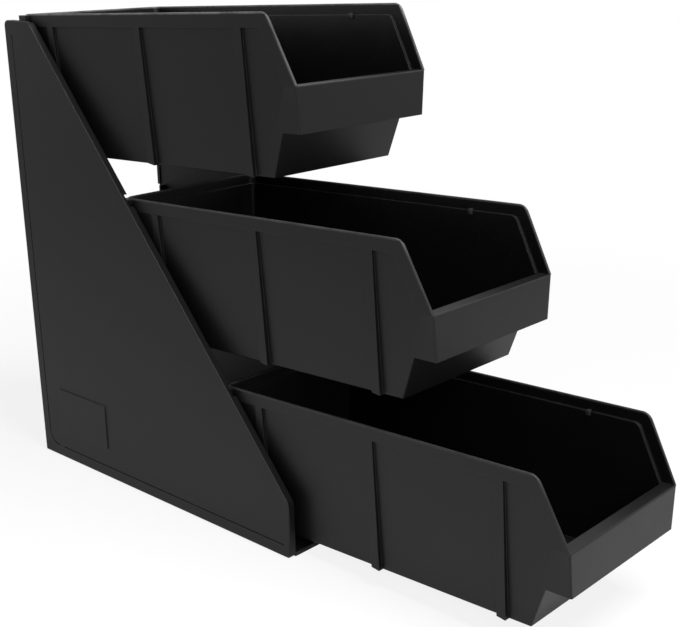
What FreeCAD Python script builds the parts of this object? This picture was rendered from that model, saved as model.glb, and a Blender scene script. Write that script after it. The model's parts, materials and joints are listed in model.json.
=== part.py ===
import FreeCAD, Part
import math
import os

# A counter stand with three tilting bins, one above the other, each set further back.
# Millimetres, +Z up. The bins' mouths face -Y, and the stand's back edges face +Y.
# Sizes seen from the side are given forward of a rear edge and above a lower edge.

# Stand, outer sizes; its height follows from the three bins above each other
stand_width = 152.0
stand_depth = 316.7
front_edge_height = 44.7
top_depth = 32.9

# Side panels: a wall with a rim that stands in from its outer face
panel_wall = 2.4
rim_reach = 6.0
back_rim_reach = 3.5
back_rim = 3.5
top_rim = 4.0
diagonal_rim = 5.5
front_rim = 5.5
bottom_rim = 4.0
heel_radius = 1.0
crown_radius = 4.5
nose_radius = 8.0
shoulder_radius = 12.0
toe_radius = 3.0
recess_radius = 2.5
panel_edge_radius = 0.8

# Border groove and bare label plate on a panel's outer face
groove_width = 1.2
groove_depth = 0.8
groove_from_back = 9.6
groove_from_bottom = 10.0
groove_corner_radius = 12.0
groove_top_gap = 11.3
groove_front_gap = 6.4
groove_bridge_start = 22.8
groove_bridge = 6.5
plate_from_back = 30.2
plate_from_bottom = 26.5
plate_length = 66.0
plate_height = 40.0
plate_proud = 0.8
plate_radius = 1.0

# Bins, in their own frame: forward of the rear face of the rim, above the floor
# Their widths are insets from the band's top, which clears the panels' rims by a side gap.
bin_height = 111.0
rim_length = 283.0
rim_corner_radius = 9.0
lip_reach = 306.5
lip_height = 63.8
apron_foot = 31.9
lip_corner_radius = 1.2
bin_toe = 275.0
front_wall_top = 298.8
bin_wall = 2.0
band_height = 8.2
slope_band = 9.7
bin_side_gap = 0.6
band_lean = 2.2
body_top_inset = 2.4
body_floor_inset = 8.0
apron_foot_inset = 5.5
rear_setback = 3.0
rear_radius = 8.0
front_radius = 1.5
floor_radius = 1.0
hollow_floor_radius = 3.0
ledge_corner_radius = 6.0
rim_edge_radius = 0.7
lip_edge_radius = 1.0
wing_lap = 7.0

# Stiffening ribs on the bins' sides, which end below as feet
rib_first = 39.2
rib_pitch = 109.2
rib_count = 3
rib_width = 7.0
rib_top_inset = 0.4
rib_foot_inset = 4.4
rib_root = 1.2
rib_foot = 0.3
rib_heel_rise = 0.9

# Ears of the bins, flat above and round below, and the open hooks that carry them
ear_radius = 4.3
ear_root = 1.0
ear_step = 0.8
ear_side_gap = 1.0
ear_clearance = 0.3
ear_end_gap = 0.4
ear_swing = 35.0
hook_wall = 2.4
hook_side_gap = 0.5
hook_lip_drop = 1.6
hook_mouth = 7.2
hook_rise = 1.0
bin_tilt = 2.06

# Places of the bins: clear heights under them, and their ears' setback from the slanted edge
lowest_bin_rise = 9.7
gap_under_middle = 19.1
gap_under_upper = 23.1
ear_over_top = 0.6
ear_setback_lower = 8.1
ear_setback_middle = 6.9
ear_setback_upper = 10.7

# Rails that the bins' rear walls lean on
rest_gap = 0.2
rail_rise = 8.5
rail_height = 22.0
rail_depth = 12.0
rail_wall = 2.4
rail_end_gap = 0.2

# Bars that tie the panels together at the back
back_bar_height = 26.0
back_bar_depth = 8.0
back_bar_drop = 8.0
back_bar_top_gap = 14.0
back_bar_side_gap = 1.7

# Sockets for rails and bars, moulded on the panels
socket_wall = 2.0
socket_side_gap = 0.4
socket_gap = 0.15

# Base plate, its tongues over the panels' lower rims, and the pads under it
base_thickness = 3.4
base_side_gap = 0.2
tongue_count = 3
tongue_length = 24.0
tongue_thickness = 2.4
tongue_root = 4.0
tongue_end_gap = 0.3
tongue_first = 40.0
tongue_last = 276.0
pad_radius = 6.0
pad_thickness = 1.8
pad_stand = 1.0
pad_gap = 0.2
pad_from_side = 20.0
pad_from_end = 16.0

# One overrun for all cuts, and how near counts as lying on a face
overrun = 30.0
touch = 0.01

# Sizes that follow from those above
ear_height_lower = lowest_bin_rise + bin_height - ear_radius
ear_height_middle = ear_height_lower + bin_height + gap_under_middle
ear_height_upper = ear_height_middle + bin_height + gap_under_upper
stand_height = ear_height_upper - ear_over_top
back_bar_low = stand_height / 2
back_bar_high = stand_height - back_bar_top_gap - back_bar_height
panel_outer = stand_width / 2
panel_inner = panel_outer - panel_wall
rim_inner = panel_outer - rim_reach
back_bar_half_width = panel_outer - back_bar_side_gap
band_top_half_width = rim_inner - bin_side_gap
band_lip_half_width = band_top_half_width - band_lean
body_top_half_width = band_top_half_width - body_top_inset
body_floor_half_width = band_top_half_width - body_floor_inset
apron_foot_half_width = band_top_half_width - apron_foot_inset
rib_top_half_width = band_top_half_width - rib_top_inset
rib_foot_half_width = band_top_half_width - rib_foot_inset
rib_root_half_width = body_floor_half_width - rib_root
ear_root_half_width = body_top_half_width - ear_root
ear_half_width = panel_inner - ear_side_gap
hook_half_width = band_top_half_width + hook_side_gap
socket_half_width = body_top_half_width + socket_side_gap
edge_slant = (stand_depth - top_depth) / (stand_height - front_edge_height)
front_slant = (front_wall_top - bin_toe) / lip_height
slope_slant = (lip_reach - rim_length) / (bin_height - lip_height)
slope_stretch = math.hypot(1, slope_slant)
ledge_height = bin_height - band_height
ledge_underside = ledge_height - bin_wall
ear_in_bin = (ear_radius, bin_height - ear_radius)


def point(x, forward, height):
    """A point from its place across, forward and up."""
    return FreeCAD.Vector(x, -forward, height)


def rounded_wire(corners):
    """A closed wire through (point, radius) corners, each rounded by an arc."""
    stops = []
    for index, (corner, radius) in enumerate(corners):
        before = (corners[index - 1][0] - corner).normalize()
        after = (corners[(index + 1) % len(corners)][0] - corner).normalize()
        if radius == 0:
            stops.append((corner, corner, corner))
            continue
        half_angle = before.getAngle(after) / 2
        inward = (before + after).normalize()
        reach = radius / math.tan(half_angle)
        middle = corner + inward * (radius / math.sin(half_angle) - radius)
        stops.append((corner + before * reach, middle, corner + after * reach))
    edges = []
    for index, (start, middle, end) in enumerate(stops):
        previous_end = stops[index - 1][2]
        if (start - previous_end).Length > touch:
            edges.append(Part.LineSegment(previous_end, start).toShape())
        if (end - start).Length > touch:
            edges.append(Part.Arc(start, middle, end).toShape())
    return Part.Wire(edges)


def side_slab(corners, x_low, x_high):
    """A slab between two places across, with a side outline of (forward, height, radius)."""
    wire = rounded_wire([(point(x_low, forward, height), radius) for forward, height, radius in corners])
    return Part.Face(wire).extrude(point(x_high - x_low, 0, 0))


def both_sides(shape):
    """The shape and its mirror image across the middle plane."""
    return [shape, shape.mirror(point(0, 0, 0), point(1, 0, 0))]


def block(x_low, x_high, back, front, low, high):
    """A box from its limits across, forward and up."""
    return side_slab([(back, low, 0), (front, low, 0), (front, high, 0), (back, high, 0)], x_low, x_high)


def joined(shapes):
    """One solid made of overlapping or touching shapes."""
    return shapes[0].fuse(shapes[1:]).removeSplitter()


def edge_forward(height):
    """How far forward the panels' slanted edge is at a height."""
    return stand_depth - edge_slant * (height - front_edge_height)


def plan_wire(half_width, rear, front, height, radii):
    """A rounded rectangle seen from above, with a radius at the rear and one at the front."""
    at_rear, at_front = radii
    corners = [
        (point(-half_width, rear, height), at_rear),
        (point(half_width, rear, height), at_rear),
        (point(half_width, front, height), at_front),
        (point(-half_width, front, height), at_front),
    ]
    return rounded_wire(corners)


def body_half_width(height):
    """Half the width of a bin's body, which narrows towards its floor."""
    taper = (body_top_half_width - body_floor_half_width) / ledge_height
    return body_floor_half_width + taper * height


def body_front(height):
    """How far forward the outer face of a bin's slanted front wall is."""
    return bin_toe + front_slant * height


def body_loft(low, high, inset, fronts, radii):
    """The part of a bin's body, or of its hollow, between two heights."""
    rear = rear_setback + inset
    lower = plan_wire(body_half_width(low) - inset, rear, fronts[0], low, radii)
    upper = plan_wire(body_half_width(high) - inset, rear, fronts[1], high, radii)
    return Part.makeLoft([lower, upper], True, True)


def bar_along(low, high, half_low, half_high, radius):
    """A bar along the bin, with a width at each of two heights and both lower edges rounded."""
    corners = [
        (point(-half_low, 0, low), radius),
        (point(half_low, 0, low), radius),
        (point(half_high, 0, high), 0),
        (point(-half_high, 0, high), 0),
    ]
    return Part.Face(rounded_wire(corners)).extrude(point(0, lip_reach, 0))


def trough(low, high, inset, radius):
    """A bar along the bin, as wide as its body or its hollow, with both lower edges rounded."""
    half_low = body_half_width(low) - inset + touch
    half_high = body_half_width(high) - inset + touch
    return bar_along(low, high, half_low, half_high, radius)


def bin_body():
    """The outside of the body: rounded in front up to the lip, square above it."""
    radii = (rear_radius - rear_setback, front_radius)
    below = body_loft(0, lip_height, 0, (body_front(0), body_front(lip_height)), radii)
    below = below.common(trough(0, lip_height, 0, floor_radius))
    fronts = (body_front(lip_height), body_front(lip_height))
    above = body_loft(lip_height, ledge_height, 0, fronts, (radii[0], 0))
    slope_waste = [
        (rim_length, bin_height, 0),
        (lip_reach, lip_height, 0),
        (lip_reach + overrun, lip_height, 0),
        (lip_reach + overrun, bin_height, 0),
    ]
    above = above.cut(side_slab(slope_waste, -stand_width, stand_width))
    return [below, above]


def bin_hollow():
    """The inside of the body: closed in front up to the lip, open above it."""
    rear_inner = rear_radius - rear_setback - bin_wall
    front_wall = bin_wall * math.hypot(1, front_slant)
    fronts = (body_front(bin_wall) - front_wall, body_front(lip_height) - front_wall)
    below = body_loft(bin_wall, lip_height, bin_wall, fronts, (rear_inner, 0))
    below = below.common(trough(bin_wall, lip_height, bin_wall, hollow_floor_radius))
    fronts = (lip_reach + overrun, lip_reach + overrun)
    above = body_loft(lip_height, ledge_height, bin_wall, fronts, (rear_inner, 0))
    return [below, above]


def slope_forward(height, inset):
    """How far forward a line is that lies behind the bin's sloping rim edge."""
    return lip_reach - slope_slant * (height - lip_height) - inset * slope_stretch


def band_half_width(height):
    """Half the width of the band round the mouth, which leans outwards."""
    lean = (band_top_half_width - band_lip_half_width) / (bin_height - lip_height)
    return band_lip_half_width + lean * (height - lip_height)


def band_loft(high, inset):
    """The space inside the band's outer faces, or its inner ones, from the lip up to a height."""
    wires = []
    for height in (lip_height, high):
        half = band_half_width(height) - inset
        wires.append(plan_wire(half, inset, lip_reach + overrun, height, (rear_radius - inset, 0)))
    return Part.makeLoft(wires, True, True)


def bin_rim():
    """The ledge and the upright band round the bin's mouth, down both slopes to the lip."""
    below_slope = slope_band + bin_wall
    strip = [
        (-overrun, ledge_underside, 0),
        (-overrun, bin_height, 0),
        (rim_length, bin_height, rim_corner_radius),
        (lip_reach, lip_height, 0),
        (slope_forward(lip_height, below_slope), lip_height, 0),
        (slope_forward(ledge_underside, below_slope), ledge_underside, ledge_corner_radius),
    ]
    rim = band_loft(bin_height, 0).common(side_slab(strip, -stand_width, stand_width))
    rim = rim.cut(rim_hollow())
    return rim.makeFillet(rim_edge_radius, mouth_edges(rim))


def rim_hollow():
    """The space inside the band, above the ledge."""
    space = [
        (-overrun, ledge_height, 0),
        (slope_forward(ledge_height, slope_band), ledge_height, ledge_corner_radius),
        (slope_forward(lip_height, slope_band), lip_height, 0),
        (lip_reach + overrun, lip_height, 0),
        (lip_reach + overrun, bin_height + overrun, 0),
        (-overrun, bin_height + overrun, 0),
    ]
    return band_loft(bin_height + overrun, bin_wall).common(side_slab(space, -stand_width, stand_width))


def on_crest(place):
    """Whether a point lies on the band's top or on one of its slopes."""
    from_slope = abs(slope_forward(place.z, 0) + place.y)
    from_top = abs(bin_height - place.z)
    return min(from_slope, from_top) < touch


def mouth_edges(rim):
    """The long edges along the crest of the band, outer and inner."""
    found = []
    for edge in rim.Edges:
        lengthwise = edge.Length > bin_wall + touch
        if lengthwise and all(on_crest(vertex.Point) for vertex in edge.Vertexes):
            found.append(edge)
    return found


def lip_loft(low, high, inset, radius):
    """The lip's outside, or its hollow, between two heights: it flares from the body's sides."""
    depth = lip_height - apron_foot
    start_foot = body_front(apron_foot) - wing_lap
    start_top = slope_forward(lip_height, slope_band + bin_wall)
    wires = []
    for height in (low, high):
        rise = (height - apron_foot) / depth
        start = start_foot + (start_top - start_foot) * rise
        root = body_half_width(height) - inset - touch
        end = apron_foot_half_width + (band_lip_half_width - apron_foot_half_width) * rise - inset
        corners = [
            (point(-root, start, height), 0),
            (point(root, start, height), 0),
            (point(end, lip_reach - inset, height), radius),
            (point(-end, lip_reach - inset, height), radius),
        ]
        wires.append(rounded_wire(corners))
    return Part.makeLoft(wires, True, True)


def bin_lip():
    """The shelf in front of the mouth, its hanging apron and the wings that close its ends."""
    outline = [
        (0, apron_foot, 0),
        (lip_reach, apron_foot, 0),
        (lip_reach, lip_height, lip_edge_radius),
        (0, lip_height, 0),
    ]
    channel = [
        (body_front(-overrun), -overrun, 0),
        (lip_reach, -overrun, 0),
        (lip_reach, lip_height, 0),
        (body_front(lip_height), lip_height, 0),
    ]
    lip = lip_loft(apron_foot, lip_height, 0, lip_corner_radius)
    lip = lip.common(side_slab(outline, -stand_width, stand_width))
    space = lip_loft(apron_foot - overrun, lip_height - bin_wall, bin_wall, 0)
    return lip.cut(space.common(side_slab(channel, -stand_width, stand_width)))


def bin_ribs():
    """Upright ribs on both sides, flush with the band, each with a foot just below the floor."""
    limits = bar_along(-rib_foot, ledge_height, rib_foot_half_width, rib_top_half_width, 0)
    ribs = []
    for number in range(rib_count):
        front = rib_first + number * rib_pitch
        outline = [
            (front - rib_width, rib_heel_rise, 0),
            (front, -rib_foot, 0),
            (front, ledge_height, 0),
            (front - rib_width, ledge_height, 0),
        ]
        ribs += both_sides(side_slab(outline, rib_root_half_width, stand_width).common(limits))
    return ribs


def bin_ears():
    """The ears at the rear corners of the rim, on which the bin hangs: flat above, round below."""
    forward, height = ear_in_bin
    outline = [
        (0, height - ear_radius, ear_radius),
        (forward + ear_radius, height - ear_radius, ear_radius),
        (forward + ear_radius, bin_height - ear_step, 0),
        (0, bin_height - ear_step, 0),
    ]
    return both_sides(side_slab(outline, ear_root_half_width, ear_half_width))


def tilt_bin():
    """One whole bin in its own frame."""
    shape = joined(bin_body() + [bin_lip()] + bin_ribs() + bin_ears())
    for hollow in bin_hollow() + [rim_hollow()]:
        shape = shape.cut(hollow)
    rim = bin_rim()
    for hollow in bin_hollow():
        rim = rim.cut(hollow)
    return joined([shape, rim])


def seated(shape, ear_height, ear_setback):
    """A shape of a bin's frame, moved to where that bin hangs in the stand."""
    moved = shape.copy()
    moved.translate(-point(0, *ear_in_bin))
    moved.rotate(point(0, 0, 0), point(1, 0, 0), -bin_tilt)
    moved.translate(point(0, edge_forward(ear_height) - ear_setback, ear_height))
    return moved


def panel_outline():
    """The side panel's outline: a right-angled shape with a slanted front."""
    return [
        (0, 0, heel_radius),
        (stand_depth, 0, toe_radius),
        (stand_depth, front_edge_height, shoulder_radius),
        (top_depth, stand_height, nose_radius),
        (0, stand_height, crown_radius),
    ]


def panel_recess():
    """The outline of the space inside a panel's rim."""
    slanted = diagonal_rim * math.hypot(1, edge_slant)
    front = stand_depth - front_rim
    top = stand_height - top_rim
    shoulder = front_edge_height + (stand_depth - slanted - front) / edge_slant
    return [
        (back_rim, bottom_rim, recess_radius),
        (front, bottom_rim, recess_radius),
        (front, shoulder, recess_radius),
        (edge_forward(top) - slanted, top, recess_radius),
        (back_rim, top, recess_radius),
    ]


def groove_cuts():
    """The border groove: down the back, round the heel and along the bottom."""
    floor = panel_outer - groove_depth
    half = groove_width / 2
    back_line = groove_from_back
    low_line = groove_from_bottom
    elbow = [
        (back_line - half, low_line - half, groove_corner_radius + half),
        (groove_bridge_start, low_line - half, 0),
        (groove_bridge_start, low_line + half, 0),
        (back_line + half, low_line + half, groove_corner_radius - half),
        (back_line + half, stand_height - groove_top_gap, 0),
        (back_line - half, stand_height - groove_top_gap, 0),
    ]
    run_start = groove_bridge_start + groove_bridge
    run_end = stand_depth - groove_front_gap
    run = block(floor, panel_outer + overrun, run_start, run_end, low_line - half, low_line + half)
    return [side_slab(elbow, floor, panel_outer + overrun), run]


def label_plate():
    """The bare raised plate near a panel's lower rear corner."""
    back = plate_from_back
    front = plate_from_back + plate_length
    low = plate_from_bottom
    high = plate_from_bottom + plate_height
    outline = [
        (back, low, plate_radius),
        (front, low, plate_radius),
        (front, high, plate_radius),
        (back, high, plate_radius),
    ]
    return side_slab(outline, panel_inner, panel_outer + plate_proud)


def hook(ear_height, ear_setback):
    """A boss on a panel's inner face that carries an ear."""
    forward = edge_forward(ear_height) - ear_setback
    back = forward - ear_sweep() - hook_wall
    low = ear_height - ear_radius - ear_clearance - hook_wall
    outline = [
        (back, low, hook_wall),
        (edge_forward(low), low, 0),
        (edge_forward(low), ear_height + hook_rise, 0),
        (back, ear_height + hook_rise, 0),
    ]
    return side_slab(outline, hook_half_width, panel_outer - panel_wall / 2)


def ear_sweep():
    """How far behind its axis an ear's upper corner comes while the bin swings, with clearance."""
    return math.hypot(ear_radius, ear_radius) + ear_clearance


def hook_slot(ear_height, ear_setback):
    """The slot for an ear: round below, flared behind for the swing, open to the slanted edge."""
    forward = edge_forward(ear_height) - ear_setback
    inner = ear_radius + ear_clearance
    start = hook_half_width - overrun
    end = ear_half_width + ear_end_gap
    swing = math.radians(ear_swing)
    flare_back = inner * math.cos(swing)
    flare_low = inner * math.sin(swing)
    flare_rise = (ear_sweep() - flare_back) / math.tan(swing)
    mouth = [
        (forward - flare_back, ear_height - flare_low, 0),
        (forward - ear_sweep(), ear_height - flare_low + flare_rise, 0),
        (forward - ear_sweep(), ear_height + hook_mouth, 0),
        (forward + overrun, ear_height + hook_mouth, 0),
        (forward + overrun, ear_height - hook_lip_drop, 0),
        (forward, ear_height - hook_lip_drop, 0),
    ]
    bore = Part.makeCylinder(inner, end - start, point(start, forward, ear_height), point(1, 0, 0))
    return bore.fuse(side_slab(mouth, start, end))


def socket(back, front, low, high, place):
    """A raised frame on a panel's inner face round the end of a rail or bar."""
    frame = block(
        socket_half_width,
        panel_outer - panel_wall / 2,
        back - socket_gap - socket_wall,
        front + socket_gap + socket_wall,
        low - socket_gap - socket_wall,
        high + socket_gap + socket_wall,
    )
    hole = block(
        socket_half_width - overrun,
        panel_inner,
        back - socket_gap,
        front + socket_gap,
        low - socket_gap,
        high + socket_gap,
    )
    return place(frame), place(hole)


def rail_limits():
    """A rest rail's back, front, low and high limits in the bin's frame."""
    front = rear_setback - rest_gap
    return front - rail_depth, front, rail_rise, rail_rise + rail_height


def rest_rail():
    """A cross rail with a channel section, open at the back, in the bin's frame."""
    back, front, low, high = rail_limits()
    half = panel_inner - rail_end_gap
    rail = block(-half, half, back, front, low, high)
    channel_half = socket_half_width - rail_wall
    channel = block(
        -channel_half, channel_half, back - overrun, front - rail_wall, low + rail_wall, high - rail_wall
    )
    return rail.cut(channel)


def back_bar(low):
    """A cross bar with a channel section, open to the front, flush with the back edges."""
    high = low + back_bar_height
    bar = block(-back_bar_half_width, back_bar_half_width, 0, back_bar_depth, low, high)
    channel_half = socket_half_width - rail_wall
    channel = block(
        -channel_half,
        channel_half,
        rail_wall,
        back_bar_depth + overrun,
        low + rail_wall,
        high - rail_wall,
    )
    return bar.cut(channel)


def back_seat(low):
    """The frame for a back bar's end, and the notch through which the bar drops in."""
    frame = block(
        socket_half_width,
        panel_outer - panel_wall / 2,
        back_rim,
        back_bar_depth + socket_gap + socket_wall,
        low - socket_gap - socket_wall,
        low + back_bar_height + back_bar_drop,
    )
    notch = block(
        socket_half_width - overrun,
        back_bar_half_width + socket_gap,
        -overrun,
        back_bar_depth + socket_gap,
        low - socket_gap,
        low + back_bar_height + back_bar_drop,
    )
    return frame, notch


def side_panel():
    """The panel on the +X side, with its rim, hooks, sockets, groove and label plate."""
    panel = side_slab(panel_outline(), rim_inner, panel_outer)
    rounded = []
    for edge in panel.Edges:
        box = edge.BoundBox
        if box.XMin > panel_outer - panel_edge_radius:
            rounded.append(edge)
    panel = panel.makeFillet(panel_edge_radius, rounded)
    panel = panel.cut(side_slab(panel_recess(), rim_inner - overrun, panel_inner))
    narrow = panel_outer - back_rim_reach
    top = stand_height - top_rim
    panel = panel.cut(block(rim_inner - overrun, narrow, -overrun, back_rim, bottom_rim, top))
    panel = panel.cut(groove_cuts())
    additions = [label_plate()]
    cuts = []
    for ear_height, ear_setback in ear_places:
        additions.append(hook(ear_height, ear_setback))
        cuts.append(hook_slot(ear_height, ear_setback))
        frame, hole = socket(*rail_limits(), lambda shape: seated(shape, ear_height, ear_setback))
        additions.append(frame)
        cuts.append(hole)
    for low in (back_bar_low, back_bar_high):
        frame, notch = back_seat(low)
        additions.append(frame)
        cuts.append(notch)
    trim = side_slab(panel_outline(), rim_inner - overrun, panel_outer + overrun)
    panel = joined([panel] + [shape.common(trim) for shape in additions])
    return panel.cut(cuts)


def base_plate():
    """The plate between the panels, with tongues that hook over their lower rims."""
    half = rim_inner - base_side_gap
    plate = block(-half, half, 0, stand_depth, 0, base_thickness)
    pieces = [plate]
    step = (tongue_last - tongue_first - tongue_length) / (tongue_count - 1)
    for number in range(tongue_count):
        back = tongue_first + number * step
        front = back + tongue_length
        top = bottom_rim + tongue_thickness
        pieces += both_sides(block(half - tongue_root, half, back, front, 0, top))
        reach = panel_inner - tongue_end_gap
        pieces += both_sides(block(half - tongue_root, reach, back, front, bottom_rim, top))
    plate = joined(pieces)
    recess_top = pad_thickness - pad_stand
    for x, forward in pad_places():
        start = point(x, forward, -overrun)
        plate = plate.cut(Part.makeCylinder(pad_radius + pad_gap, overrun + recess_top, start))
    return plate


def pad_places():
    """Where the four pads are: across and forward."""
    places = []
    for forward in (pad_from_end, stand_depth - pad_from_end):
        for x in (pad_from_side - panel_outer, panel_outer - pad_from_side):
            places.append((x, forward))
    return places


def foot_pad(x, forward):
    """A round pad in its recess under the base plate."""
    return Part.makeCylinder(pad_radius, pad_thickness, point(x, forward, -pad_stand))


ear_places = [
    (ear_height_lower, ear_setback_lower),
    (ear_height_middle, ear_setback_middle),
    (ear_height_upper, ear_setback_upper),
]

pieces = {}
left, right = reversed(both_sides(side_panel()))
pieces["side_panel_left"] = left
pieces["side_panel_right"] = right
pieces["base_plate"] = base_plate()
pieces["back_bar_middle"] = back_bar(back_bar_low)
pieces["back_bar_top"] = back_bar(back_bar_high)
whole_bin = tilt_bin()
for name, place in zip(("lower", "middle", "upper"), ear_places):
    pieces["rest_rail_" + name] = seated(rest_rail(), *place)
    pieces["bin_" + name] = seated(whole_bin, *place)
for number, place in enumerate(pad_places()):
    pieces["foot_pad_" + str(number + 1)] = foot_pad(*place)

# The origin is the middle of the space that the whole part takes, on the surface it stands on
room = FreeCAD.BoundBox()
for shape in pieces.values():
    room.add(shape.optimalBoundingBox(False))
shift = FreeCAD.Vector(0, -room.Center.y, pad_stand)
os.makedirs("parts", exist_ok=True)
for name, shape in pieces.items():
    shape.translate(shift)
    shape.exportStep("parts/" + name + ".step")
    print(name, "solids", len(shape.Solids), "valid", shape.isValid(), "volume", round(shape.Volume, 1))

for name, place in zip(("lower", "middle", "upper"), ear_places):
    ear_height, ear_setback = place
    pivot = point(0, edge_forward(ear_height) - ear_setback, ear_height) + shift
    print("ear axis of the", name, "bin", [round(value, 3) for value in pivot])
print("room", room.XLength, room.YLength, room.ZLength, "shift", shift)
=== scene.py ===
"""Dresses the tilting bin stand and sets up its pale stage, its soft lights and the camera."""

import json
import logging
import math
from dataclasses import dataclass, replace
from enum import Enum
from typing import Any, Optional, Union

import bmesh
import bpy
from mathutils import Matrix, Vector


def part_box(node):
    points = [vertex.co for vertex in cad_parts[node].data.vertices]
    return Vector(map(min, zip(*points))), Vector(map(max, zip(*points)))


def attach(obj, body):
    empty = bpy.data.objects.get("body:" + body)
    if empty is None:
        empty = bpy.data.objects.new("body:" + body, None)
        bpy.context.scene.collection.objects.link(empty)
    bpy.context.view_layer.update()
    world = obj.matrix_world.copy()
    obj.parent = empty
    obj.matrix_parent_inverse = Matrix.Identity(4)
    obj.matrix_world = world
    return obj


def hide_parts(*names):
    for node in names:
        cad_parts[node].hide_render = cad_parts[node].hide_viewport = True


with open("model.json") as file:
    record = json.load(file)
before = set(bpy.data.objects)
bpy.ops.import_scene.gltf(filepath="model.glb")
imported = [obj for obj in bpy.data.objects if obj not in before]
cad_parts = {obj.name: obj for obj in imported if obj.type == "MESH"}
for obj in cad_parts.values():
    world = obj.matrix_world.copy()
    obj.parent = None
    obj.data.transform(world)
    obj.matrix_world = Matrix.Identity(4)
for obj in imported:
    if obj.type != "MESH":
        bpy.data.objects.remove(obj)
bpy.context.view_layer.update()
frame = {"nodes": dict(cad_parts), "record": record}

MM = 0.001
QUARTER_TURN = math.radians(90.0)
SHARP_ANGLE = math.radians(40.0)
# The numbers of a Mix node's colour sockets, which share their names with its other sockets
COLOUR_A, COLOUR_B, COLOUR_RESULT = 6, 7, 2
NOISE_MEAN = 0.5
MIDDLE_SHADE = 0.5
log = logging.getLogger("bin_stand")

Number = Union[int, float]
Colour = tuple[float, float, float]
Place = tuple[float, float, float]
Span = tuple[float, float]
Profile = list[tuple[float, float]]
Rings = tuple[tuple[float, float], ...]
Outline = list[Place]
Settings = dict[str, Any]
Values = dict[Union[int, str], Any]


class Socket:
    """An output socket of a node tree, on which arithmetic adds Math nodes."""

    def __init__(self, graph: "Graph", link: bpy.types.NodeSocket) -> None:
        """Wraps one output.

        Args:
            graph: the graph that owns the socket.
            link: the output socket itself.
        """
        self.graph = graph
        self.link = link

    def _math(self, operation: str, *values: Union["Socket", Number]) -> "Socket":
        """Adds one Math node over the values."""
        return self.graph.node("ShaderNodeMath", {"operation": operation}, dict(enumerate(values)))

    def __add__(self, other: Union["Socket", Number]) -> "Socket":
        """Self plus other."""
        return self._math("ADD", self, other)

    def __radd__(self, other: Number) -> "Socket":
        """Other plus self."""
        return self._math("ADD", other, self)

    def __sub__(self, other: Union["Socket", Number]) -> "Socket":
        """Self minus other."""
        return self._math("SUBTRACT", self, other)

    def __rsub__(self, other: Number) -> "Socket":
        """Other minus self."""
        return self._math("SUBTRACT", other, self)

    def __mul__(self, other: Union["Socket", Number]) -> "Socket":
        """Self times other."""
        return self._math("MULTIPLY", self, other)

    def __rmul__(self, other: Number) -> "Socket":
        """Other times self."""
        return self._math("MULTIPLY", other, self)

    def least(self, other: Union["Socket", Number]) -> "Socket":
        """The smaller of two values."""
        return self._math("MINIMUM", self, other)

    def clamped(self) -> "Socket":
        """The value held between 0 and 1."""
        return self.graph.node("ShaderNodeClamp", {}, {"Value": self})

    def smooth(self, low: float, high: float) -> "Socket":
        """A smooth step from 0 at low to 1 at high.

        Args:
            low: the value that becomes 0.
            high: the value that becomes 1.

        Returns:
            The stepped value.
        """
        settings = {"interpolation_type": "SMOOTHSTEP"}
        values = {"Value": self, "From Min": low, "From Max": high}
        return self.graph.node("ShaderNodeMapRange", settings, values)


class Graph:
    """The node tree of one material or of the world."""

    def __init__(self, owner: Union[bpy.types.Material, bpy.types.World]) -> None:
        """Empties the owner's tree and keeps it.

        Args:
            owner: the material or world whose nodes are made here.
        """
        owner.use_nodes = True
        self.tree = owner.node_tree
        self.tree.nodes.clear()

    def added(self, kind: str, settings: Settings, values: Values) -> bpy.types.Node:
        """Adds a node, sets it up and feeds its sockets.

        Args:
            kind: the node's type.
            settings: the node's own settings, such as an operation.
            values: what each input gets, a value or a Socket, by name or number.

        Returns:
            The node.
        """
        made = self.tree.nodes.new(kind)
        for key, value in settings.items():
            setattr(made, key, value)
        for key, value in values.items():
            if isinstance(value, Socket):
                self.tree.links.new(value.link, made.inputs[key])
            else:
                made.inputs[key].default_value = value
        return made

    def node(
        self,
        kind: str,
        settings: Optional[Settings] = None,
        values: Optional[Values] = None,
        output: Union[int, str] = 0,
    ) -> Socket:
        """Adds a node and gives its output of a name or number."""
        return Socket(self, self.added(kind, settings or {}, values or {}).outputs[output])

    def along(self, vector: Socket, axis: str) -> Socket:
        """How long a vector is along the axis X, Y or Z."""
        return self.node("ShaderNodeSeparateXYZ", {}, {"Vector": vector}, axis)

    def vector_math(self, operation: str, vector: Socket, *others: Any, output: str) -> Socket:
        """Adds one Vector Math node over the vector and the others."""
        values = dict(enumerate((vector, *others)))
        return self.node("ShaderNodeVectorMath", {"operation": operation}, values, output)

    def mixed(self, factor: Socket, first: Union[Socket, Colour], second: Colour) -> Socket:
        """A colour between two others.

        Args:
            factor: 0 for the first colour, 1 for the second.
            first: one colour, plain or from a node.
            second: the other.

        Returns:
            The mixed colour.
        """
        under = first if isinstance(first, Socket) else (*first, 1.0)
        values = {0: factor, COLOUR_A: under, COLOUR_B: (*second, 1.0)}
        return self.node("ShaderNodeMix", {"data_type": "RGBA"}, values, COLOUR_RESULT)

    def finish(self, shader: Socket, kind: str = "ShaderNodeOutputMaterial") -> None:
        """Feeds the shader to an output node of that kind."""
        self.added(kind, {}, {"Surface": shader})


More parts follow.
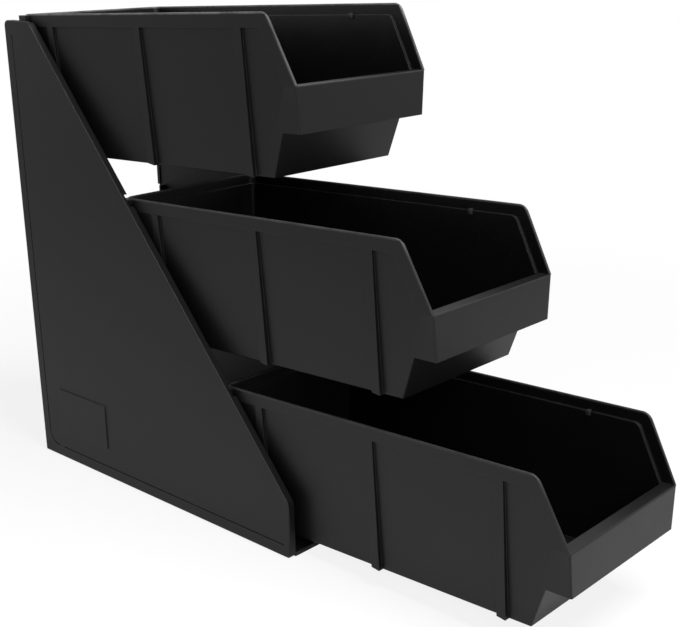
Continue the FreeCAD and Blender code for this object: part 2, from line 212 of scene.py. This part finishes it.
@dataclass(frozen=True)
class Noise:
    """One noise that varies a surface.

    Attributes:
        scale: waves per metre.
        detail: how many finer layers are added.
        roughness: how strong the finer layers are.
        stretch: its scales along x, y and z, which draw it out into streaks, or None.
    """

    scale: float
    detail: float = 3.0
    roughness: float = 0.5
    stretch: Optional[Place] = None

    def at(self, graph: Graph, where: Socket) -> Socket:
        """The noise's value at a point.

        Args:
            graph: the material's graph.
            where: the point.

        Returns:
            The value, about 0.5 in the mean.
        """
        if self.stretch:
            where = graph.vector_math("MULTIPLY", where, self.stretch, output="Vector")
        values = {
            "Vector": where,
            "Scale": self.scale,
            "Detail": self.detail,
            "Roughness": self.roughness,
        }
        return graph.node("ShaderNodeTexNoise", {}, values)


@dataclass(frozen=True)
class BinShape:
    """A bin's sizes in its own frame: forward of its rim's rear face and up from its underside.

    Attributes:
        tilt: how far back it leans at rest, in radians.
        ear_forward: how far forward the ears' axis is.
        ear_height: how high the ears' axis is.
        height: how high the rim's crest is.
        crest_length: how far forward the level crest goes, down to where the slopes start.
        lip_reach: how far forward the slopes reach at the lip.
        lip_height: how high the lip's crest is.
    """

    tilt: float = math.radians(2.06)
    ear_forward: float = 4.3 * MM
    ear_height: float = 106.7 * MM
    height: float = 111.0 * MM
    crest_length: float = 283.0 * MM
    lip_reach: float = 306.5 * MM
    lip_height: float = 63.8 * MM

    @property
    def slant(self) -> float:
        """How far forward a slope goes for each metre that it goes down."""
        return (self.lip_reach - self.crest_length) / (self.height - self.lip_height)


BIN_SHAPE = BinShape()


class BinSeat(Enum):
    """The three bins: their body, and where their ears' axis is along y and z, in metres."""

    LOWER = ("lower_bin", 0.02839, 0.1174)
    MIDDLE = ("middle_bin", 0.137308, 0.2475)
    UPPER = ("upper_bin", 0.254611, 0.3816)

    @property
    def body(self) -> str:
        """The body that the bin's pieces ride on."""
        return self.value[0]

    @property
    def axis(self) -> tuple[float, float]:
        """Where the ears' axis is, along y and z."""
        return self.value[1:]

    @property
    def placed(self) -> Matrix:
        """The way from the bin's own frame, with -y forward, to its place at rest.

        Returns:
            The matrix.
        """
        ears = Matrix.Translation(Vector((0.0, BIN_SHAPE.ear_forward, -BIN_SHAPE.ear_height)))
        tilt = Matrix.Rotation(-BIN_SHAPE.tilt, 4, "X")
        return Matrix.Translation(Vector((0.0, *self.axis))) @ tilt @ ears


@dataclass(frozen=True)
class CrestHighlight:
    """A painted highlight: a lighter strip along the crest of a bin's rim, drawn like rubbing.

    Attributes:
        seat: the bin that it is on.
        wear_and_highlight: how strong the painted highlight is, from 0 to 1.
        width: how wide it is, in metres.
        full_width: the share of its width that is lightened in full.
        lip_fade: between which heights over the lip it sets in, in metres.
        top_fade: between which heights over the crest it becomes stronger, in metres.
        slope_share: how strong it is on the slopes below, as a share.
        patch_span: the patches' values between which it grows.
        patch_least: how strong it is outside the patches, as a share.
    """

    seat: BinSeat
    wear_and_highlight: float
    width: float = 1.7 * MM
    full_width: float = 0.5
    lip_fade: Span = (-1.0 * MM, 1.0 * MM)
    top_fade: Span = (-14.0 * MM, -3.0 * MM)
    slope_share: float = 0.35
    patch_span: Span = (0.3, 0.6)
    patch_least: float = 0.4

    def strip(self, graph: Graph, where: Socket) -> Socket:
        """How near a point is to the crest.

        Args:
            graph: the material's graph.
            where: the point, in the part's frame.

        Returns:
            1 on the crest, and 0 beyond the strip.
        """
        shape = BIN_SHAPE
        across, up = self.seat.axis
        sine, cosine = math.sin(shape.tilt), math.cos(shape.tilt)
        along = graph.along(where, "Y") - across
        above = graph.along(where, "Z") - up
        height = along * sine + above * cosine + shape.ear_height
        forward = above * sine - along * cosine + shape.ear_forward
        over_lip = height - shape.lip_height
        behind_slope = shape.lip_reach - forward - over_lip * shape.slant
        from_slope = behind_slope * (1.0 / math.hypot(1.0, shape.slant))
        from_crest = from_slope.least(shape.height - height)
        near = 1.0 - from_crest.smooth(self.full_width * self.width, self.width)
        near_top = (height - shape.height).smooth(*self.top_fade)
        strength = near_top * (1.0 - self.slope_share) + self.slope_share
        return near * over_lip.smooth(*self.lip_fade) * strength

    def rubbed_and_highlit(self, graph: Graph, where: Socket, patches: Socket) -> Socket:
        """How strongly the painted highlight lightens a point of the rim.

        Args:
            graph: the material's graph.
            where: the point, in the part's frame.
            patches: the noise that breaks up the painted highlight.

        Returns:
            0 where it is as moulded, and 1 where it is rubbed in full.
        """
        patchy = patches.smooth(*self.patch_span) * (1.0 - self.patch_least) + self.patch_least
        return self.strip(graph, where) * patchy * self.wear_and_highlight


class Surface:
    """What a finish reads at each point of a piece."""

    def __init__(self, graph: Graph, edge: float, samples: int) -> None:
        """Adds the nodes that read the surface.

        Args:
            graph: the material's graph.
            edge: how far the edges are eased, in metres.
            samples: how finely the easing is sampled.
        """
        self.graph = graph
        self.where = graph.node("ShaderNodeTexCoord", output="Object")
        self.eased = graph.node("ShaderNodeBevel", {"samples": samples}, {"Radius": edge})
        self.facing = graph.node("ShaderNodeNewGeometry", output="Normal")


@dataclass(frozen=True)
class MouldedPlastic:
    """Satin black plastic with a fine grain, soft edges, flow marks, edges worn by handling and
    painted highlights on edges and crests.

    Attributes:
        name: the material's name.
        colour: the pigment.
        wear_and_highlight_colour: the lighter colour that worn places and painted highlights turn
            to.
        roughness: the plain surface's roughness.
        specular: the shader's specular level.
        edge: how far the edges are eased, in metres.
        edge_samples: how finely the easing is sampled.
        core_polish: how much smoother the faces are that look inward, which the mould's core made.
        core_side: between which values a face counts as looking inward.
        crest: the painted highlight along the crest of a bin's rim, for a bin's own finish.
        wear_and_highlight: how much of the edges is worn and lightened as a painted highlight,
            from 0 to 1.
        patches: the noise that breaks up the worn and highlit edges.
        patch_span: the patches' values between which an edge is lightened, when wear_and_highlight
            is 0.
        patch_reach: how much lower that span starts when wear_and_highlight is 1.
        edge_turn: how far the normal turns at an edge, where the wearing and the painted highlight
            start and are full.
        edge_wear_and_highlight: how strong the wearing and the painted highlight of the edges are.
        flow: the marks that the flow of the plastic left.
        cloud: the slow change of the pigment.
        flow_shade: how much the flow marks shade the pigment.
        cloud_shade: how much the cloud shades it.
        shade_spread: how far the shades lie from the pigment, as a share.
        dust: how much fine dust lies on faces that look up.
        dust_colour: the colour of the dust.
        dusting: the noise that breaks up the dust.
        dust_span: the dusting's values between which dust lies.
        dust_tilt: how far up a face looks, where the dust starts and is full.
        flow_gloss: how much the flow marks change the roughness.
        patch_gloss: how much the patches change it.
        rubbed_gloss: how much rougher the worn and highlit places are.
        grain: the grain of the mould.
        hairs: the hair scratches.
        hair_span: the values of the hair noise between which a scratch gets deeper.
        hair_depth: how deep a scratch is, as a share of the grain.
        relief_depth: how high the grain is, in metres.
        relief_strength: how strongly the grain shows.
    """

    name: str
    colour: Colour
    wear_and_highlight_colour: Colour
    roughness: float
    specular: float = 0.25
    edge: float = 0.6 * MM
    edge_samples: int = 6
    core_polish: float = 0.0
    core_side: Span = (0.0, 0.03)
    crest: Optional[CrestHighlight] = None
    wear_and_highlight: float = 0.9
    patches: Noise = Noise(55.0, 4.0, 0.6)
    patch_span: Span = (0.62, 0.75)
    patch_reach: float = 0.3
    edge_turn: Span = (0.02, 0.3)
    edge_wear_and_highlight: float = 0.4
    flow: Noise = Noise(1.0, 4.0, 0.55, (14.0, 3.0, 14.0))
    cloud: Noise = Noise(9.0)
    flow_shade: float = 0.35
    cloud_shade: float = 0.3
    shade_spread: float = 0.18
    dust: float = 0.004
    dust_colour: Colour = (0.4, 0.39, 0.37)
    dusting: Noise = Noise(240.0, 5.0, 0.7)
    dust_span: Span = (0.35, 0.8)
    dust_tilt: Span = (0.5, 1.0)
    flow_gloss: float = 0.1
    patch_gloss: float = 0.08
    rubbed_gloss: float = 0.08
    grain: Noise = Noise(900.0, 4.0, 0.6)
    hairs: Noise = Noise(1.0, 2.0, 0.4, (30.0, 900.0, 30.0))
    hair_span: Span = (0.66, 0.8)
    hair_depth: float = 0.35
    relief_depth: float = 0.03 * MM
    relief_strength: float = 0.8

    def rubbed_and_highlit(self, surface: Surface, patches: Socket) -> Socket:
        """How far a point is worn and lightened by painted highlights.

        Args:
            surface: what the finish reads.
            patches: the noise that breaks up the worn and highlit places.

        Returns:
            0 where it is as moulded, and 1 where it is worn and highlit in full.
        """
        graph, normals = surface.graph, (surface.eased, surface.facing)
        # Edges lighten where the normal turns: partly worn by handling, partly a painted highlight
        # of their rounding.
        turned = 1.0 - graph.vector_math("DOT_PRODUCT", *normals, output="Value")
        edges = turned.smooth(*self.edge_turn)
        low, high = self.patch_span
        patchy = patches.smooth(low - self.patch_reach * self.wear_and_highlight, high)
        rubbed_and_highlit = edges * patchy * self.wear_and_highlight * self.edge_wear_and_highlight
        # A bin also gets the painted highlight along its rim's crest.
        if self.crest:
            rubbed_and_highlit = (rubbed_and_highlit + self.crest.rubbed_and_highlit(graph, surface.where, patches)).clamped()
        return rubbed_and_highlit

    def shaded(self, surface: Surface, flow: Socket, rubbed_and_highlit: Socket) -> Socket:
        """The colour at a point.

        Args:
            surface: what the finish reads.
            flow: the flow marks.
            rubbed_and_highlit: how far the point is worn and lit by a painted highlight.

        Returns:
            The colour.
        """
        graph, where = surface.graph, surface.where
        cloud = self.cloud.at(graph, where)
        shade = (flow - NOISE_MEAN) * self.flow_shade + (cloud - NOISE_MEAN) * self.cloud_shade
        deep = tuple((1.0 - self.shade_spread) * part for part in self.colour)
        light = tuple((1.0 + self.shade_spread) * part for part in self.colour)
        colour = graph.mixed((shade + MIDDLE_SHADE).clamped(), deep, light)
        # Worn places and the painted highlights on edges and crests mix in the lighter colour.
        colour = graph.mixed(rubbed_and_highlit, colour, self.wear_and_highlight_colour)
        upward = graph.along(surface.facing, "Z").smooth(*self.dust_tilt)
        dusted = upward * self.dusting.at(graph, where).smooth(*self.dust_span) * self.dust
        return graph.mixed(dusted, colour, self.dust_colour)

    def roughened(self, surface: Surface, flow: Socket, patches: Socket, rubbed_and_highlit: Socket) -> Socket:
        """The roughness at a point.

        Args:
            surface: what the finish reads.
            flow: the flow marks.
            patches: the noise that breaks up the worn and highlit places.
            rubbed_and_highlit: how far the point is worn and lit by a painted highlight.

        Returns:
            The roughness.
        """
        graph = surface.graph
        outward = graph.along(surface.facing, "X") * graph.along(surface.where, "X")
        inward = (0.0 - outward).smooth(*self.core_side)
        marked = self.roughness + (flow - NOISE_MEAN) * self.flow_gloss
        patchy = marked + (patches - NOISE_MEAN) * self.patch_gloss
        return (patchy + rubbed_and_highlit * self.rubbed_gloss - inward * self.core_polish).clamped()

    def relief(self, surface: Surface) -> Socket:
        """The normal with the grain and the hair scratches.

        Args:
            surface: what the finish reads.

        Returns:
            The normal.
        """
        graph, where = surface.graph, surface.where
        scratches = self.hairs.at(graph, where).smooth(*self.hair_span)
        values = {
            "Height": self.grain.at(graph, where) - scratches * self.hair_depth,
            "Distance": self.relief_depth,
            "Strength": self.relief_strength,
            "Normal": surface.eased,
        }
        return graph.node("ShaderNodeBump", {}, values)

    def material(self) -> bpy.types.Material:
        """Makes the material.

        Returns:
            The finished material.
        """
        made = bpy.data.materials.new(self.name)
        graph = Graph(made)
        surface = Surface(graph, self.edge, self.edge_samples)
        patches = self.patches.at(graph, surface.where)
        flow = self.flow.at(graph, surface.where)
        rubbed_and_highlit = self.rubbed_and_highlit(surface, patches)
        values = {
            "Base Color": self.shaded(surface, flow, rubbed_and_highlit),
            "Roughness": self.roughened(surface, flow, patches, rubbed_and_highlit),
            "Specular IOR Level": self.specular,
            "Normal": self.relief(surface),
        }
        graph.finish(graph.node("ShaderNodeBsdfPrincipled", {}, values))
        return made


class Finish(Enum):
    """The finishes on the stand."""

    STAND = MouldedPlastic("stand_black", (0.0028, 0.0028, 0.003), (0.12, 0.12, 0.12), 0.46)
    BIN = MouldedPlastic(
        "bin_black", (0.0026, 0.0026, 0.0028), (0.12, 0.12, 0.12), 0.43, core_polish=0.16
    )
    # The three bin finishes are copies that differ only in how strong the painted highlight along
    # the crest is.
    BIN_LOWER = replace(BIN, name="lower_bin_black", crest=CrestHighlight(BinSeat.LOWER, 0.15))
    BIN_MIDDLE = replace(BIN, name="middle_bin_black", crest=CrestHighlight(BinSeat.MIDDLE, 0.3))
    BIN_UPPER = replace(BIN, name="upper_bin_black", crest=CrestHighlight(BinSeat.UPPER, 1.0))
    # The lugs' finish is lighter than the bins' all over, as a painted highlight on their faces.
    LUG_HIGHLIGHT = MouldedPlastic("lug_highlight_black", (0.016, 0.016, 0.0165), (0.06, 0.06, 0.06), 0.4)
    PAD = MouldedPlastic(
        "pad_rubber", (0.012, 0.012, 0.012), (0.03, 0.03, 0.03), 0.8, specular=0.2, edge=0.3 * MM
    )


# The CAD nodes of the slot that is missing here are replaced
SLOT_FINISH = {"stand_plastic": Finish.STAND, "bin_plastic": Finish.BIN}
BIN_FINISH = {
    "bin_lower": Finish.BIN_LOWER,
    "bin_middle": Finish.BIN_MIDDLE,
    "bin_upper": Finish.BIN_UPPER,
}


def scaled(rings: Rings, radius: float, rise: float, base: float = 0.0) -> Profile:
    """A round detail's profile, from rings given as shares of its radius and its rise."""
    return [(share * radius, base + level * rise) for share, level in rings]


@dataclass
class PieceMaker:
    """Turns mesh code into named pieces of the part.

    Attributes:
        materials: the material of each finish.
        easing_steps: faces across an eased edge.
        easing_fullness: how full an eased edge is, from 0, hollow, to 1, square.
    """

    materials: dict[Finish, bpy.types.Material]
    easing_steps: int = 2
    easing_fullness: float = 0.6

    def piece(
        self, name: str, shape: bmesh.types.BMesh, finish: Finish, body: str
    ) -> bpy.types.Object:
        """Makes a piece of a finished mesh.

        Args:
            name: the piece's name.
            shape: its mesh, in the part's frame; it is freed here.
            finish: its finish.
            body: the body that it rides on.

        Returns:
            The piece.
        """
        bmesh.ops.recalc_face_normals(shape, faces=shape.faces)
        mesh = bpy.data.meshes.new(name)
        shape.to_mesh(mesh)
        shape.free()
        mesh.set_sharp_from_angle(angle=SHARP_ANGLE)
        mesh.materials.append(self.materials[finish])
        made = bpy.data.objects.new(name, mesh)
        bpy.context.scene.collection.objects.link(made)
        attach(made, body)
        log.info("%s is made, %d faces", name, len(mesh.polygons))
        return made

    @staticmethod
    def turned(shape: bmesh.types.BMesh, profile: Profile, steps: int, place: Matrix) -> None:
        """Adds a round shape, turned about the place's z axis.

        Args:
            shape: the mesh that gets it.
            profile: radius and height of each ring; one of radius 0 is a point.
            steps: how many faces go round.
            place: where the shape stands.
        """
        rings = []
        for radius, height in profile:
            count = steps if radius > 0 else 1
            turns = [math.tau * index / count for index in range(count)]
            points = [(radius * math.cos(turn), radius * math.sin(turn), height) for turn in turns]
            rings.append([shape.verts.new(place @ Vector(point)) for point in points])
        for low, high in zip(rings, rings[1:]):
            for index in range(steps):
                following = (index + 1) % steps
                near = [low[index % len(low)], low[following % len(low)]]
                far = [high[following % len(high)], high[index % len(high)]]
                corners = list(dict.fromkeys(near + far))
                shape.faces.new(corners).smooth = True

    def wedge(
        self, shape: bmesh.types.BMesh, low: Outline, high: Outline, easing: float, place: Matrix
    ) -> None:
        """Adds a drafted block between a lower and an upper outline, with eased edges.

        Args:
            shape: the mesh that gets it.
            low: the lower outline's corners.
            high: the upper outline's corners, in the same order.
            easing: how far its edges are eased.
            place: where the block stands.
        """
        under = [shape.verts.new(place @ Vector(corner)) for corner in low]
        over = [shape.verts.new(place @ Vector(corner)) for corner in high]
        faces = [shape.faces.new(under), shape.faces.new(over)]
        for index, corner in enumerate(under):
            following = (index + 1) % len(under)
            faces.append(shape.faces.new([corner, under[following], over[following], over[index]]))
        bevelled = bmesh.ops.bevel(
            shape,
            geom=list({edge for face in faces for edge in face.edges}),
            offset=easing,
            segments=self.easing_steps,
            profile=self.easing_fullness,
            affect="EDGES",
            clamp_overlap=True,
        )
        for face in bevelled["faces"]:
            face.smooth = True


@dataclass
class FootPads:
    """Four rubber pads with an eased edge, a grip ring and a dished sole.

    Attributes:
        count: how many pads there are.
        easing: how far the rim of the sole is eased.
        easing_bend: where the eased rim bends, as a share of its size.
        ring_inner: where the grip ring starts, as a share of the radius.
        ring_outer: where it ends, as a share of the radius.
        dish: how deep the sole is inside the ring, and how wide the groove outside it is.
        steps: faces round a pad.
    """

    count: int = 4
    easing: float = 0.35 * MM
    easing_bend: float = 0.3
    ring_inner: float = 0.55
    ring_outer: float = 0.8
    dish: float = 0.3 * MM
    steps: int = 48

    def profile(self, radius: float, thickness: float) -> Profile:
        """The pad's profile from the sole up.

        Args:
            radius: the pad's radius.
            thickness: its thickness.

        Returns:
            Radius and height of each ring.
        """
        inner, outer = self.ring_inner * radius, self.ring_outer * radius
        bend = self.easing_bend * self.easing
        return [
            (0.0, self.dish),
            (inner - self.dish, self.dish),
            (inner, 0.0),
            (outer, 0.0),
            (outer + self.dish / 2, self.dish / 2),
            (outer + self.dish, 0.0),
            (radius - self.easing, 0.0),
            (radius - bend, bend),
            (radius, self.easing),
            (radius, thickness),
            (0.0, thickness),
        ]

    def build(self, maker: PieceMaker) -> None:
        """Makes the pads in the place of the plain ones.

        Args:
            maker: makes the pieces.
        """
        for number in range(1, self.count + 1):
            node = f"foot_pad_{number}"
            low, high = (Vector(corner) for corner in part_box(node))
            middle = (low + high) / 2
            place = Matrix.Translation((middle.x, middle.y, low.z))
            profile = self.profile((high.x - low.x) / 2, high.z - low.z)
            shape = bmesh.new()
            maker.turned(shape, profile, self.steps, place)
            pad = maker.piece(f"pad_{number}", shape, Finish.PAD, "stand")
            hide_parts(node)


@dataclass
class BinDetails:
    """Small moulded details inside each bin: lugs at the ledge, and the gate's mark on the floor.

    Attributes:
        lug_forward: how far in front of the rim's rear face the lugs' middle is.
        lug_length: their length along the bin.
        lug_inner: how far from the bin's middle they reach in.
        lug_root: how far out they are rooted in the wall.
        lug_low: their lower end above the bin's underside.
        lug_high: their upper end above the bin's underside.
        lug_draft: how much narrower they are above.
        lug_easing: how far their edges are eased.
        gate_forward: how far forward the gate's mark is.
        gate_radius: the mark's radius.
        gate_rise: how far it stands above the floor.
        gate_rings: the mark, a low disc with a dimple and a nub, as shares of radius and rise.
        floor_thickness: the thickness of the bin's floor.
        steps: faces round the mark.
    """

    lug_forward: float = 237.2 * MM
    lug_length: float = 3.4 * MM
    lug_inner: float = 62.9 * MM
    lug_root: float = 66.4 * MM
    lug_low: float = 100.2 * MM
    lug_high: float = 104.2 * MM
    lug_draft: float = 0.2 * MM
    lug_easing: float = 0.35 * MM
    gate_forward: float = 142.0 * MM
    gate_radius: float = 4.5 * MM
    gate_rise: float = 0.35 * MM
    gate_rings: Rings = (
        (1.0, -1.0),
        (1.0, 0.0),
        (0.93, 1.0),
        (0.5, 1.0),
        (0.42, 0.1),
        (0.2, 0.1),
        (0.16, 1.0),
        (0.0, 1.0),
    )
    floor_thickness: float = 2.0 * MM
    steps: int = 40

    def lug(self, side: int) -> tuple[Outline, Outline]:
        """One lug's lower and upper outline.

        Args:
            side: 1 for the right wall, -1 for the left one.

        Returns:
            The corners of both outlines.
        """
        outlines = []
        for height, slimmer in ((self.lug_low, 0.0), (self.lug_high, self.lug_draft)):
            inner, root = side * (self.lug_inner + slimmer), side * self.lug_root
            rear = -self.lug_forward + self.lug_length / 2 - slimmer
            front = -self.lug_forward - self.lug_length / 2 + slimmer
            corners = ((inner, rear), (root, rear), (root, front), (inner, front))
            outlines.append([(across, along, height) for across, along in corners])
        return outlines[0], outlines[1]

    def build(self, maker: PieceMaker) -> None:
        """Makes the details of the three bins.

        Args:
            maker: makes the pieces.
        """
        gate = scaled(self.gate_rings, self.gate_radius, self.gate_rise, self.floor_thickness)
        for seat in BinSeat:
            shape = bmesh.new()
            for side in (-1, 1):
                maker.wedge(shape, *self.lug(side), self.lug_easing, seat.placed)
            name = f"{seat.body}_ledge_lugs"
            # The lugs get the lighter finish that paints a highlight on them.
            maker.piece(name, shape, Finish.LUG_HIGHLIGHT, seat.body)
            shape = bmesh.new()
            place = seat.placed @ Matrix.Translation((0.0, -self.gate_forward, 0.0))
            maker.turned(shape, gate, self.steps, place)
            maker.piece(f"{seat.body}_gate_mark", shape, Finish.BIN, seat.body)


@dataclass
class PanelDetails:
    """Round marks of the ejector pins on the inner faces of the side panels.

    Attributes:
        panel_inner: how far from the stand's middle the panels' inner faces are.
        places: along y and up, in metres, where the marks are.
        radius: a mark's radius.
        rise: how far its ring stands above the face.
        rings: the mark, a low ring round a flat disc, as shares of radius and rise.
        steps: faces round a mark.
    """

    panel_inner: float = 73.6 * MM
    places: tuple[tuple[float, float], ...] = (
        (0.245, 0.045),
        (0.245, 0.150),
        (0.225, 0.262),
        (0.150, 0.055),
        (0.150, 0.165),
        (0.060, 0.040),
    )
    radius: float = 4.0 * MM
    rise: float = 0.2 * MM
    rings: Rings = (
        (1.0, -1.0),
        (1.0, 0.0),
        (0.94, 1.0),
        (0.84, 1.0),
        (0.78, 0.3),
        (0.0, 0.3),
    )
    steps: int = 40

    def build(self, maker: PieceMaker) -> None:
        """Makes the marks on both panels.

        Args:
            maker: makes the pieces.
        """
        mark = scaled(self.rings, self.radius, self.rise)
        for name, side in (("left", -1), ("right", 1)):
            shape = bmesh.new()
            inward = Matrix.Rotation(-side * QUARTER_TURN, 4, "Y")
            for along, up in self.places:
                place = Matrix.Translation((side * self.panel_inner, along, up)) @ inward
                maker.turned(shape, mark, self.steps, place)
            maker.piece(f"pin_marks_{name}", shape, Finish.STAND, "stand")


@dataclass
class CarriedNodes:
    """The CAD nodes that show as they are, with the finishes of their slots.

    Attributes:
        materials: the material of each finish.
    """

    materials: dict[Finish, bpy.types.Material]

    def dress(self) -> None:
        """Gives each shown CAD node its material."""
        for row in frame["record"]["subparts"]:
            name, slot = row["node"], row["material_slot"]
            if slot not in SLOT_FINISH:
                continue
            node = frame["nodes"][name]
            finish = BIN_FINISH.get(name, SLOT_FINISH[slot])
            node.data.materials.clear()
            node.data.materials.append(self.materials[finish])
            log.info("%s is dressed as %s", name, finish.name)


class Ray(Enum):
    """The kinds of ray that see the surroundings white."""

    CAMERA = "Is Camera Ray"
    GLOSSY = "Is Glossy Ray"
    TRANSMISSION = "Is Transmission Ray"

    def seen(self, graph: Graph) -> Socket:
        """1 where such a ray meets the surface, and 0 elsewhere."""
        return graph.node("ShaderNodeLightPath", output=self.value)


@dataclass(frozen=True)
class Lamp:
    """A soft square lamp that shines at the stand's middle.

    Attributes:
        name: its name.
        place: where it hangs.
        side: the length of its side.
        power: its power, in watts.
        target: what it shines at.
    """

    name: str
    place: Place
    side: float
    power: float
    target: Place = (0.0, 0.0, 0.2)

    def hang(self) -> None:
        """Adds the lamp to the scene."""
        data = bpy.data.lights.new(self.name, "AREA")
        data.size = self.side
        data.energy = self.power
        made = bpy.data.objects.new(self.name, data)
        bpy.context.scene.collection.objects.link(made)
        away = Vector(self.place) - Vector(self.target)
        made.location = self.place
        made.rotation_euler = away.to_track_quat("Z", "Y").to_euler()


@dataclass
class Studio:
    """The stage, the lights and the camera.

    Attributes:
        image_width: the photograph's width, in pixels.
        focal_pixels: the camera's focal length, in pixels.
        shift_pixels: how far below the middle the view's centre lies, in pixels.
        camera_place: where the camera stands.
        azimuth: the direction of the view, 0 along +Y, in degrees.
        pitch: how far the camera looks down, in degrees.
        roll: how far the camera is turned about its view, in degrees.
        sensor: the camera's sensor width, in millimetres.
        clip: the nearest and the farthest that the camera sees.
        white: the colour of the white surroundings.
        surroundings_light: how strongly the surroundings light the stand.
        floor_half: half the floor's width.
        floor_colour: the floor's own colour.
        floor_white: how white the floor is to the eye near the stand, as a share.
        floor_fade: how far from the stand the floor starts to whiten and is white.
        floor_mirrored: how white the floor is in gloss, as a share.
        lamps: the lamps.
    """

    image_width: float = 679.0
    focal_pixels: float = 1196.59
    shift_pixels: float = 60.0
    camera_place: Place = (-0.6364, -0.6136, 0.4388)
    azimuth: float = -47.121
    pitch: float = 19.869
    roll: float = -0.597
    sensor: float = 36.0
    clip: Span = (0.01, 50.0)
    white: tuple[float, float, float, float] = (1.0, 1.0, 1.0, 1.0)
    surroundings_light: float = 0.02
    floor_half: float = 6.0
    floor_colour: tuple[float, float, float, float] = (0.9, 0.9, 0.9, 1.0)
    floor_white: float = 0.85
    floor_fade: Span = (0.35, 1.1)
    floor_mirrored: float = 0.27
    lamps: tuple[Lamp, ...] = (
        Lamp("high_front", (0.0, -0.7, 1.6), side=0.8, power=34.0),
        Lamp("beside_camera", (-1.5, -1.5, 1.2), side=1.0, power=26.0),
    )

    def camera(self) -> None:
        """Makes the camera at the photograph's view."""
        data = bpy.data.cameras.new("camera")
        data.sensor_fit = "HORIZONTAL"
        data.sensor_width = self.sensor
        data.lens = self.focal_pixels / self.image_width * self.sensor
        data.shift_y = self.shift_pixels / self.image_width
        data.clip_start, data.clip_end = self.clip
        made = bpy.data.objects.new("camera", data)
        bpy.context.scene.collection.objects.link(made)
        turn = Matrix.Rotation(math.radians(self.azimuth), 3, "Z")
        tilt = Matrix.Rotation(QUARTER_TURN - math.radians(self.pitch), 3, "X")
        roll = Matrix.Rotation(math.radians(self.roll), 3, "Z")
        made.location = self.camera_place
        made.rotation_euler = (turn @ tilt @ roll).to_euler()
        bpy.context.scene.camera = made

    def pale(self) -> bpy.types.Material:
        """Makes the floor's material, which looks white but keeps the stand's shadow.

        Returns:
            The material.
        """
        made = bpy.data.materials.new("pale_floor")
        graph = Graph(made)
        matt = graph.node("ShaderNodeBsdfDiffuse", {}, {"Color": self.floor_colour})
        white = graph.node("ShaderNodeEmission", {}, {"Color": self.white, "Strength": 1.0})
        where = graph.node("ShaderNodeTexCoord", output="Object")
        away = graph.vector_math("LENGTH", where, output="Value").smooth(*self.floor_fade)
        share = away * (1.0 - self.floor_white) + self.floor_white
        mirrored = (Ray.GLOSSY.seen(graph) + Ray.TRANSMISSION.seen(graph)) * self.floor_mirrored
        shown = (Ray.CAMERA.seen(graph) * share + mirrored).clamped()
        graph.finish(graph.node("ShaderNodeMixShader", {}, {0: shown, 1: matt, 2: white}))
        return made

    def floor(self) -> None:
        """Lays the pale floor."""
        half = self.floor_half
        corners = [(-half, -half, 0.0), (half, -half, 0.0), (half, half, 0.0), (-half, half, 0.0)]
        mesh = bpy.data.meshes.new("floor")
        mesh.from_pydata(corners, [], [(0, 1, 2, 3)])
        mesh.materials.append(self.pale())
        made = bpy.data.objects.new("floor", mesh)
        bpy.context.scene.collection.objects.link(made)

    def world(self) -> None:
        """Makes the surroundings white to the eye and to gloss, and dim as a light."""
        made = bpy.data.worlds.new("surroundings")
        graph = Graph(made)
        camera, glossy, transmission = (ray.seen(graph) for ray in Ray)
        seen = (camera + glossy + transmission).clamped()
        dim, white = (
            graph.node("ShaderNodeBackground", {}, {"Color": self.white, "Strength": strength})
            for strength in (self.surroundings_light, 1.0)
        )
        shown = graph.node("ShaderNodeMixShader", {}, {0: seen, 1: dim, 2: white})
        graph.finish(shown, "ShaderNodeOutputWorld")
        bpy.context.scene.world = made

    def build(self) -> None:
        """Sets up the whole studio."""
        self.camera()
        self.floor()
        self.world()
        for lamp in self.lamps:
            lamp.hang()
        bpy.context.scene.view_settings.view_transform = "Standard"


def main() -> None:
    """Builds the studio and dresses the stand."""
    logging.basicConfig(level=logging.INFO)
    Studio().build()
    materials = {finish: finish.value.material() for finish in Finish}
    CarriedNodes(materials).dress()
    maker = PieceMaker(materials)
    for details in (FootPads(), BinDetails(), PanelDetails()):
        details.build(maker)


if __name__ == "__main__":
    main()
